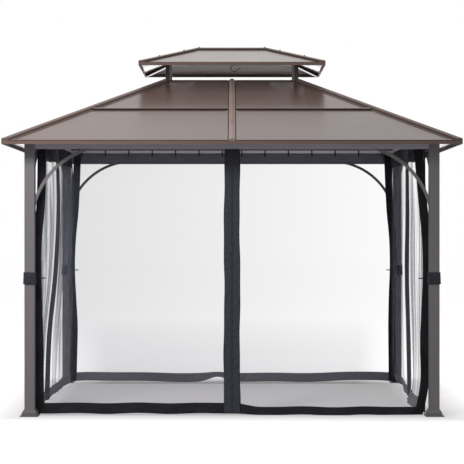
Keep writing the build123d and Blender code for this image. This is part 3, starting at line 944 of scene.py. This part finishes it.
class GAZEBO_OT_paint_steel(bpy.types.Operator):
    """Give every steel part its coat"""

    bl_idname = "gazebo.paint_steel"
    bl_label = "Paint steel"

    def execute(self, context):
        coats = {
            "Powder coated steel sheet": ("upper_panel_",),
            "Powder coated zinc sheet": ("lower_panels_",),
            "Powder coated folded trim": ("lower_eave_trims", "upper_eave_trims"),
            "Powder coated roof cap": ("lower_hip_caps", "upper_hip_caps", "upper_ridge_cap"),
            "Powder coated roof rib, painted lighter": ("roof_ribs",),
            "Powder coated square tube": ("post_front", "post_rear", "braces_"),
            "Powder coated foot cover, painted darker": ("foot_",),
            "Powder coated beam tube, painted lighter": ("beam_",),
            "Powder coated rafter bar": ("hip_rafters", "middle_rafters", "vent_"),
            "Powder coated zinc bar": ("upper_rafters",),
            "Powder coated net rail, painted lighter": ("net_rails",),
            "Dip coated wire": ("lamp_hook",),
        }
        for coat, starts in coats.items():
            for node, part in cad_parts.items():
                if node.startswith(starts):
                    part.data.materials.clear()
                    part.data.materials.append(finish_for(coat))
        return {"FINISHED"}


class GAZEBO_OT_hang_netting(bpy.types.Operator):
    """Hang two net halves on each side"""

    bl_idname = "gazebo.hang_netting"
    bl_label = "Hang netting"

    def execute(self, context):
        for side in SIDES:
            for half_name, way in HALVES.items():
                field, bands = hang_half(side, half_name, way)
        return {"FINISHED"}


class GAZEBO_OT_hook_loops(bpy.types.Operator):
    """Sew tape loops on the netting and hook them round the rails"""

    bl_idname = "gazebo.hook_loops"
    bl_label = "Hook loops"

    def execute(self, context):
        fittings = context.scene.gazebo_fittings

        def loop(tree, given):
            ring = add(tree, "GeometryNodeCurvePrimitiveQuadrilateral", {
                "Height": given["Height"],
                "Bottom Width": given["Bottom"],
                "Top Width": given["Top"],
                "Offset": 0.0,
            }, mode="TRAPEZOID")
            soft = add(tree, "GeometryNodeFilletCurve", {
                "Curve": ring.outputs["Curve"], "Count": 3, "Radius": LOOP_BEND,
            }, mode="POLY")
            tape = add(tree, "GeometryNodeCurvePrimitiveQuadrilateral", {
                "Width": given["Sheet"], "Height": given["Width"],
            })
            band = add(tree, "GeometryNodeCurveToMesh", {
                "Curve": soft.outputs["Curve"], "Profile Curve": tape.outputs["Curve"],
            })
            return add(tree, "GeometryNodeTransform", {
                "Geometry": band.outputs["Mesh"], "Rotation": (0.0, math.pi / 2, 0.0),
            }).outputs["Geometry"]

        sizes = {
            "Height": LOOP_HIGH,
            "Bottom": LOOP_LOW_WIDTH,
            "Top": LOOP_TOP_WIDTH,
            "Sheet": LOOP_SHEET,
            "Width": fittings.loop_width,
        }
        tree = repeat_tree("Rail loops", sizes, loop, False)
        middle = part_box("net_rails")[1].z + LOOP_ABOVE - LOOP_HIGH / 2
        lines = []
        for side in SIDES:
            turn, half, distance = net_place(side)[:3]
            for place in np.arange(LOOP_START, half - LOOP_END, fittings.loop_pitch):
                for way in HALVES.values():
                    lines.append(side_mark((way * place, -distance, middle), (0.0, -1.0, 0.0), turn))
        loops = repeat_on("net_rail_loops", tree, lines, sizes, finish_for("Woven polyester strap"))
        return {"FINISHED"}


class GAZEBO_OT_close_zips(bpy.types.Operator):
    """Set the teeth and sliders of the four zips"""

    bl_idname = "gazebo.close_zips"
    bl_label = "Close zips"

    def execute(self, context):
        def tooth(tree, given):
            size = add(tree, "ShaderNodeCombineXYZ", {
                "X": given["Length"], "Y": given["Width"], "Z": given["Height"],
            })
            return add(tree, "GeometryNodeMeshCube", {"Size": size.outputs["Vector"]}).outputs["Mesh"]

        sizes = {"Pitch": context.scene.gazebo_fittings.tooth_pitch, **TOOTH}
        tree = repeat_tree("Zip teeth", sizes, tooth, True)
        heights = np.linspace(*ZIP_ENDS, ZIP_POINTS)
        lines = [zip_line(side, 1, 0.0, heights) for side in SIDES]
        teeth = repeat_on("zip_teeth", tree, lines, sizes, finish_for("Moulded acetal"))

        def slider(tree, given):
            parts = []
            for size, place in ((SLIDER_BODY, SLIDER_RISE), (SLIDER_TAB, TAB_PLACE)):
                block = add(tree, "GeometryNodeMeshCube", {"Size": size})
                moved = add(tree, "GeometryNodeTransform", {
                    "Geometry": block.outputs["Mesh"], "Translation": place,
                })
                parts.append(moved.outputs["Geometry"])
            return add(tree, "GeometryNodeJoinGeometry", {"Geometry": parts}).outputs["Geometry"]

        tree = repeat_tree("Zip sliders", (), slider, False)
        # The second level only shows which way the zip runs
        levels = np.array(SLIDER_LEVELS)
        lines = [[part[:1] for part in zip_line(side, 1, 0.0, levels)] for side in SIDES]
        sliders = repeat_on("zip_sliders", tree, lines, {}, finish_for("Moulded acetal"))
        return {"FINISHED"}


class GAZEBO_OT_sew_bands(bpy.types.Operator):
    """Stitch the bands to the netting"""

    bl_idname = "gazebo.sew_bands"
    bl_label = "Sew bands"

    def execute(self, context):
        fittings = context.scene.gazebo_fittings
        nets = context.scene.gazebo_netting

        def stitch(tree, given):
            thread = add(tree, "GeometryNodeMeshCylinder", {
                "Vertices": 6, "Radius": given["Thread"], "Depth": given["Length"],
            })
            return add(tree, "GeometryNodeTransform", {
                "Geometry": thread.outputs["Mesh"], "Rotation": (0.0, math.pi / 2, 0.0),
            }).outputs["Geometry"]

        sizes = {"Pitch": fittings.stitch_pitch, "Length": fittings.stitch_length, "Thread": THREAD}
        tree = repeat_tree("Band stitches", sizes, stitch, True)
        heights = np.linspace(*UP_SEAM, UP_POINTS)
        across = np.linspace(*CROSS_SEAM, CROSS_POINTS)
        for side in SIDES:
            lines = []
            hem, head = band_levels(side)
            for way in HALVES.values():
                lines.append(zip_line(side, way, nets.zip_band - SEAM_INSET, heights))
                lines.append(zip_line(side, way, ZIP_SEAM, heights))
                lines.append(edge_line(side, way, nets.edge_band - SEAM_INSET, heights))
                for level in (hem - BAND_SEAM, HEM_SEAM, head + BAND_SEAM):
                    lines.append(outer_line(side, way, across, np.full_like(across, level)))
            stitches = repeat_on("stitches_" + side, tree, lines, sizes, finish_for("Spun sewing thread"))
        return {"FINISHED"}


class GAZEBO_OT_wrap_straps(bpy.types.Operator):
    """Wrap a strap with a loose tail round each post"""

    bl_idname = "gazebo.wrap_straps"
    bl_label = "Wrap straps"

    def execute(self, context):
        straps = new_shape()
        low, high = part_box("post_straps")
        tall = high.z - low.z
        # The strap starts on the outer side, goes once round and ends over its own start
        turns = np.linspace(0, 2 * math.pi * STRAP_TURNS, STRAP_POINTS)[None, :]
        rows = np.linspace(0, 1, STRAP_ROWS)[:, None]
        circle = turns + math.pi * STRAP_START
        square = np.abs(np.cos(circle)) ** STRAP_SQUARE + np.abs(np.sin(circle)) ** STRAP_SQUARE
        bend = square ** (-1 / STRAP_SQUARE)
        everywhere, below, at_end = STRAP_SLACK
        slack = everywhere + below * (1 - rows) + at_end * turns / turns.max()
        loose = TAIL_OUT * (1 - rows) * share((turns - TAIL_LOOSE) / TAIL_TURN) ** 2
        sinks = TAIL_DOWN * share((turns - TAIL_SINKS) / TAIL_TURN)
        for corner in ("front_left", "front_right", "rear_left", "rear_right"):
            post_low, post_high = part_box("post_" + corner)
            middle = (post_low + post_high) / 2
            half = (post_high.x - post_low.x) / 2
            outward = 1 if middle.x > 0 else -1
            reach = (half + slack + loose) * bend
            wave = STRAP_WAVE * np.sin(2 * turns + middle.y)
            grid = np.stack([
                middle.x + outward * reach * np.cos(circle),
                middle.y + reach * np.sin(circle),
                low.z + tall * rows + wave - sinks,
            ], -1)
            cloth = np.stack(np.broadcast_arrays(turns * half, rows * tall), -1)
            if outward < 0:
                grid, cloth = grid[:, ::-1], cloth[:, ::-1]
            add_grid(straps, grid, cloth, STRAP_SHEET)
        piece = build("post_straps_woven", straps, finish_for("Woven polyester strap"))
        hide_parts("post_straps")
        return {"FINISHED"}


class GAZEBO_OT_tie_toggles(bpy.types.Operator):
    """Sew a barrel toggle to the edge bands of the front and rear netting"""

    bl_idname = "gazebo.tie_toggles"
    bl_label = "Tie toggles"

    def execute(self, context):
        nets = context.scene.gazebo_netting

        def toggle(tree, given):
            ball = add(tree, "GeometryNodeMeshUVSphere", {"Segments": 10, "Rings": 8, "Radius": 0.5})
            barrel = add(tree, "GeometryNodeTransform", {
                "Geometry": ball.outputs["Mesh"], "Translation": BARREL_RISE, "Scale": BARREL,
            })
            tab = add(tree, "GeometryNodeMeshCube", {"Size": TOGGLE_TAB})
            parts = [barrel.outputs["Geometry"], tab.outputs["Mesh"]]
            return add(tree, "GeometryNodeJoinGeometry", {"Geometry": parts}).outputs["Geometry"]

        tree = repeat_tree("Barrel toggles", (), toggle, False)
        lines = []
        for side in LONG_SIDES:
            low, high = net_place(side)[3:]
            # The second level only shows which way the band runs
            levels = np.array([1.0, 1.004]) * (TOGGLE_HEIGHT - low) / (high - low)
            for way in HALVES.values():
                points, facing, along = edge_line(side, way, nets.edge_band + TOGGLE_PAST, levels)
                lines.append((points[:1], facing[:1], np.cross(along[:1], facing[:1])))
        toggles = repeat_on("net_toggles", tree, lines, {}, finish_for("Moulded acetal"))
        return {"FINISHED"}


class GAZEBO_OT_lay_shade_line_seals(bpy.types.Operator):
    """Press rubber lips beside the ribs, the caps and the lap seams, whose black paints the shadow lines
    there
    """

    bl_idname = "gazebo.press_seals"
    bl_label = "Press seals"

    def execute(self, context):
        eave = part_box("lower_eave_trims")[1]
        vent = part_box("vent_frame")[1]
        upper_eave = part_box("upper_eave_trims")[1]
        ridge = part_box("upper_ridge_cap")[1]
        lower_run, upper_run = eave.x - vent.x, upper_eave.y
        ridge_height = ridge.z - RIDGE_RISE
        # The eave's corner, the depth of a slope in plan, and its pitch
        tiers = {
            "lower": (eave, lower_run, (vent.z - eave.z) / lower_run),
            "upper": (upper_eave, upper_run, (ridge_height - upper_eave.z) / upper_run),
        }
        shade_line_seals = new_shape()
        for side, turn in SIDES.items():
            for tier, (corner, run, slope) in tiers.items():
                half, distance = (corner.x, corner.y) if side in LONG_SIDES else (corner.y, corner.x)
                facing = np.array([0.0, -slope, 1.0]) / math.hypot(1.0, slope)

                def lay(first, second, rise=0.0, height=SHADE_LINE_HIGH):
                    """Lay a lip between two places, each given by its x and its distance in from the eave."""
                    ends = [
                        np.array([x, up - distance, corner.z + slope * up]) + facing * rise
                        for x, up in (first, second)
                    ]
                    start, end, out = turned(np.array([*ends, facing]), math.radians(turn))
                    add_bar(shade_line_seals, start, end, out, SHADE_LINE_WIDE, height)

                # The hips stand at 45 degrees in plan, so a lip beside a cap moves in as far as it goes up
                hip = half - (CAP_HALF[tier] + SHADE_LINE_WIDE / 2) * math.sqrt(2)
                last = run - TOP_GAP
                if tier == "upper":
                    last = min(last, hip - PEAK_GAP)
                for way in HALVES.values():
                    lay((way * (hip - EAVE_GAP), EAVE_GAP), (way * max(hip - last, 0.0), last))
                    if tier == "lower":
                        rib = way * (RIB_HALF + SHADE_LINE_WIDE / 2)
                        lay((rib, EAVE_GAP), (rib, last))
                        inner = way * (RIB_HALF + SHADE_LINE_WIDE)
                        seam = SEAM_SHARE * run - SEAM_GAP
                        outer = way * (hip - seam - SHADE_LINE_WIDE)
                        lay((inner, seam), (outer, seam), RIM_RISE, SHADE_LINE_HIGH + LAP_HIGH)
                        top = last - RIM_GAP
                        lay((inner, top), (way * (hip - last), top), RIM_RISE)
                if tier == "upper" and side in LONG_SIDES:
                    up = run - CAP_HALF[tier] - SHADE_LINE_WIDE / 2
                    reach = ridge.x + CAP_HALF[tier] / 2
                    lay((-reach, up), (reach, up))
        piece = build("roof_shade_line_seals", shade_line_seals, finish_for("Extruded rubber lip for shade lines"), smooth=False)
        return {"FINISHED"}


def upper_corner_height():
    """Height of the upper hip caps' tops at the eave corners."""
    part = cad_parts["upper_hip_caps"].data
    points = np.array([v.co for v in part.vertices])
    beside = np.abs(points[:, 0])
    return points[beside > beside.max() - 2 * HAIR, 2].max()


def rib_line(side):
    """Height of a rib's top at the eave, its slope, and the eave's distance from the middle."""
    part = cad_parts["roof_ribs"].data
    points = turned(np.array([v.co for v in part.vertices]), -math.radians(SIDES[side]))
    peak = points[(np.abs(points[:, 0]) < HAIR) & (points[:, 1] < 0)]
    outer = peak[peak[:, 1] < peak[:, 1].min() + HAIR]
    inner = peak[peak[:, 1] > peak[:, 1].max() - RIB_END]
    foot = outer[outer[:, 2].argmax()]
    top = inner[inner[:, 2].argmax()]
    return foot[2], (top[2] - foot[2]) / (top[1] - foot[1]), -foot[1]


class GAZEBO_OT_drive_screws(bpy.types.Operator):
    """Drive the screws of the ribs, the upper hip caps and the ridge cap"""

    bl_idname = "gazebo.drive_screws"
    bl_label = "Drive screws"

    def execute(self, context):
        def screw(tree, given):
            washer = add(tree, "GeometryNodeMeshCone", {
                "Vertices": 14,
                "Radius Top": given["Head"],
                "Radius Bottom": given["Washer"],
                "Depth": given["Sheet"],
            })
            head = add(tree, "GeometryNodeMeshCylinder", {
                "Vertices": 6, "Radius": given["Head"], "Depth": given["Height"],
            })
            parts = [washer.outputs["Mesh"], head.outputs["Mesh"]]
            return add(tree, "GeometryNodeJoinGeometry", {"Geometry": parts}).outputs["Geometry"]

        sizes = {"Head": context.scene.gazebo_fittings.screw_head / 2, **SCREW}
        tree = repeat_tree("Roof screws", sizes, screw, False)
        lines = []

        def mark(point, facing, along):
            """Mark a screw by its place, the way it faces and the way its head lies."""
            point, facing, along = [np.array([one], float) for one in (point, facing, along)]
            lines.append((point, facing / np.linalg.norm(facing), along / np.linalg.norm(along)))

        # Upper hip caps run from the corners of the upper eave to the ends of the ridge
        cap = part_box("upper_hip_caps")[1]
        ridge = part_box("upper_ridge_cap")[1]
        for sx in (-1, 1):
            end = np.array([sx * ridge.x, 0.0, ridge.z])
            for sy in (-1, 1):
                corner = np.array([sx * cap.x, sy * cap.y, upper_corner_height()])
                run = end - corner
                facing = np.cross(np.cross(run, (0, 0, 1)), run)
                for part in HIP_SCREWS:
                    mark(corner + run * part, facing, run)
            mark(end - np.array([sx * RIDGE_SCREW, 0, 0]), (0, 0, 1), (1, 0, 0))
        # One screw on the lower half of each rib
        for side, turn in SIDES.items():
            foot, slope, reach = rib_line(side)
            facing = np.array([0.0, -slope, 1.0]) / math.hypot(1, slope)
            point = (0.0, RIB_SCREW - reach, foot + RIB_SCREW * slope)
            lines.append(side_mark(point, facing, math.radians(turn)))
        screws = repeat_on("roof_screws", tree, lines, sizes, finish_for("Painted roof screw"))
        return {"FINISHED"}


# Studio


def seen_directly(tree):
    """1 for rays from the camera, off a shiny coat or through the net, 0 for the light in the room."""
    path = add(tree, "ShaderNodeLightPath").outputs
    direct = add(tree, "ShaderNodeMath", {
        0: path["Is Camera Ray"], 1: path["Is Glossy Ray"],
    }, operation="MAXIMUM")
    return add(tree, "ShaderNodeMath", {
        0: direct.outputs[0], 1: path["Is Transmission Ray"],
    }, operation="MAXIMUM").outputs[0]


def set_backdrop(scene, studio):
    """A world that looks white and lights the gazebo evenly."""
    world = bpy.data.worlds.new("White sweep")
    scene.world = world
    world.use_nodes = True
    tree = world.node_tree
    tree.nodes.clear()
    light = add(tree, "ShaderNodeBackground", {"Color": (1, 1, 1, 1), "Strength": studio.daylight})
    white = add(tree, "ShaderNodeBackground", {"Color": (1, 1, 1, 1), "Strength": 1.0})
    both = add(tree, "ShaderNodeMixShader", {
        0: seen_directly(tree), 1: light.outputs[0], 2: white.outputs[0],
    })
    add(tree, "ShaderNodeOutputWorld", {"Surface": both.outputs[0]})


def studio_floor(studio):
    """Matt white floor that melts into the backdrop, with painted shade below the roof and a pale painted
    shadow behind.
    """
    finish, tree = start_finish("Matt white studio floor")
    place = add(tree, "ShaderNodeTexCoord").outputs["Object"]
    split = add(tree, "ShaderNodeSeparateXYZ", {"Vector": place}).outputs
    # The floor's glow is kept low under the roof, a painted shade over the roof's real shadow, and it fades
    # out to the white of the backdrop
    past = {}
    for axis, half in PAINTED_SHADE_HALF.items():
        far = add(tree, "ShaderNodeMath", {0: split[axis]}, operation="ABSOLUTE")
        over = add(tree, "ShaderNodeMath", {0: far.outputs[0], 1: half}, operation="SUBTRACT")
        past[axis] = over.outputs[0]
    beyond = add(tree, "ShaderNodeMath", {0: past["X"], 1: past["Y"]}, operation="MAXIMUM")
    fade = add(tree, "ShaderNodeMapRange", {
        0: beyond.outputs[0],
        1: PAINTED_SHADE_FADE[0],
        2: PAINTED_SHADE_FADE[1],
        3: studio.floor_glow,
        4: 1 - studio.floor_tone * studio.daylight,
    })
    # A pale painted shadow lies on the floor behind the gazebo
    deep = add(tree, "ShaderNodeMapRange", {
        0: split["Y"], 1: SHADE_FADE[0], 2: SHADE_FADE[1], 3: SHADE_DEPTH, 4: 0.0,
    })
    wedge = add(tree, "ShaderNodeMath", {
        0: split["Y"], 1: SHADE_TAPER, 2: past["X"],
    }, operation="MULTIPLY_ADD")
    middle = add(tree, "ShaderNodeMapRange", {
        0: wedge.outputs[0], 1: SHADE_SIDES[0], 2: SHADE_SIDES[1], 3: 1.0, 4: 0.0,
    })
    behind = add(tree, "ShaderNodeMath", {0: split["Y"], 1: SHADE_START}, operation="GREATER_THAN")
    pool = add(tree, "ShaderNodeMath", {
        0: deep.outputs["Result"], 1: middle.outputs["Result"],
    }, operation="MULTIPLY")
    dim = add(tree, "ShaderNodeMath", {0: pool.outputs[0], 1: behind.outputs[0]}, operation="MULTIPLY")
    left = add(tree, "ShaderNodeMath", {
        0: fade.outputs["Result"], 1: dim.outputs[0],
    }, operation="SUBTRACT")
    glow = add(tree, "ShaderNodeMath", {0: seen_directly(tree), 1: left.outputs[0]}, operation="MULTIPLY")
    matt = add(tree, "ShaderNodeBsdfDiffuse", {"Color": shade(FLOOR_TINT, studio.floor_tone)})
    lit = add(tree, "ShaderNodeEmission", {"Color": (1, 1, 1, 1), "Strength": glow.outputs[0]})
    both = add(tree, "ShaderNodeAddShader", {0: matt.outputs[0], 1: lit.outputs[0]})
    add(tree, "ShaderNodeOutputMaterial", {"Surface": both.outputs[0]})
    return finish


def hang_lamp(scene, name, place, aim, width, spread, watts):
    """A square soft lamp that looks from its place towards its aim."""
    lamp = bpy.data.lights.new(name, "AREA")
    lamp.shape = "SQUARE"
    lamp.size = width
    lamp.spread = math.radians(spread)
    lamp.energy = watts
    holder = bpy.data.objects.new(name, lamp)
    holder.location = place
    back = mathutils.Vector(place) - mathutils.Vector(aim)
    holder.rotation_euler = back.to_track_quat("Z", "Y").to_euler()
    # The coat mirrors the white room and not the lamps
    holder.visible_glossy = False
    scene.collection.objects.link(holder)


class GAZEBO_OT_set_studio(bpy.types.Operator):
    """Lay the floor and set the lamps and the camera"""

    bl_idname = "gazebo.set_studio"
    bl_label = "Set studio"

    def execute(self, context):
        scene = context.scene
        studio = scene.gazebo_studio
        scene.view_settings.view_transform = "Standard"
        set_backdrop(scene, studio)

        mesh = bpy.data.meshes.new("studio_floor")
        corners = ((-1, -1), (1, -1), (1, 1), (-1, 1))
        points = [(x * FLOOR_HALF, y * FLOOR_HALF, -FLOOR_DROP) for x, y in corners]
        mesh.from_pydata(points, [], [(0, 1, 2, 3)])
        mesh.materials.append(studio_floor(studio))
        floor = bpy.data.objects.new("studio_floor", mesh)
        scene.collection.objects.link(floor)

        # Name, place, aim, width, spread in degrees and power
        lamps = (
            ("softbox_front_left", (-2.6, -5.0, 5.0), (-1.3, -1.3, 1.8), 1.6, 80, studio.softbox),
            ("wide_top_light", (-0.2, 0.4, 8.5), (0.0, 0.0, 1.5), 4.5, 180, studio.top_light),
            ("vent_light_left", (0.3, 0.11, 2.4), (-0.74, 0.18, 2.95), 0.12, 30, studio.vent_light),
            ("vent_light_right", (-0.3, 0.11, 2.4), (0.74, 0.18, 2.95), 0.12, 30, studio.vent_light),
        )
        for lamp in lamps:
            hang_lamp(scene, *lamp)

        view = bpy.data.cameras.new("studio_camera")
        view.lens = studio.lens
        view.sensor_width = 36.0
        view.clip_end = 200.0
        camera = bpy.data.objects.new("studio_camera", view)
        camera.location = (0.0, -studio.camera_distance, studio.camera_height)
        camera.rotation_euler = (math.pi / 2, 0.0, 0.0)
        scene.collection.objects.link(camera)
        scene.camera = camera
        return {"FINISHED"}


class GAZEBO_PT_build(bpy.types.Panel):
    """Steps that dress the gazebo, in order"""

    bl_idname = "GAZEBO_PT_build"
    bl_label = "Gazebo"
    bl_space_type = "VIEW_3D"
    bl_region_type = "UI"
    bl_category = "Gazebo"

    def draw(self, context):
        for step in OPERATORS:
            self.layout.operator(step.bl_idname)
        for group in GROUPS:
            box = self.layout.box()
            for key in group.__annotations__:
                box.prop(getattr(context.scene, GROUPS[group]), key)


OPERATORS = (
    GAZEBO_OT_paint_steel,
    GAZEBO_OT_hang_netting,
    GAZEBO_OT_hook_loops,
    GAZEBO_OT_close_zips,
    GAZEBO_OT_sew_bands,
    GAZEBO_OT_wrap_straps,
    GAZEBO_OT_tie_toggles,
    GAZEBO_OT_lay_shade_line_seals,
    GAZEBO_OT_drive_screws,
    GAZEBO_OT_set_studio,
)
GROUPS = {
    GazeboFinishes: "gazebo_finishes",
    GazeboNetting: "gazebo_netting",
    GazeboFittings: "gazebo_fittings",
    GazeboStudio: "gazebo_studio",
}


def register():
    for group, name in GROUPS.items():
        bpy.utils.register_class(group)
        setattr(bpy.types.Scene, name, bpy.props.PointerProperty(type=group))
    for kind in (*OPERATORS, GAZEBO_PT_build):
        bpy.utils.register_class(kind)


def unregister():
    for kind in (GAZEBO_PT_build, *reversed(OPERATORS)):
        bpy.utils.unregister_class(kind)
    for group, name in GROUPS.items():
        delattr(bpy.types.Scene, name)
        bpy.utils.unregister_class(group)


def main():
    register()
    bpy.ops.gazebo.paint_steel()
    bpy.ops.gazebo.hang_netting()
    bpy.ops.gazebo.hook_loops()
    bpy.ops.gazebo.close_zips()
    bpy.ops.gazebo.sew_bands()
    bpy.ops.gazebo.wrap_straps()
    bpy.ops.gazebo.tie_toggles()
    bpy.ops.gazebo.press_seals()
    bpy.ops.gazebo.drive_screws()
    bpy.ops.gazebo.set_studio()


if __name__ == "__main__":
    main()
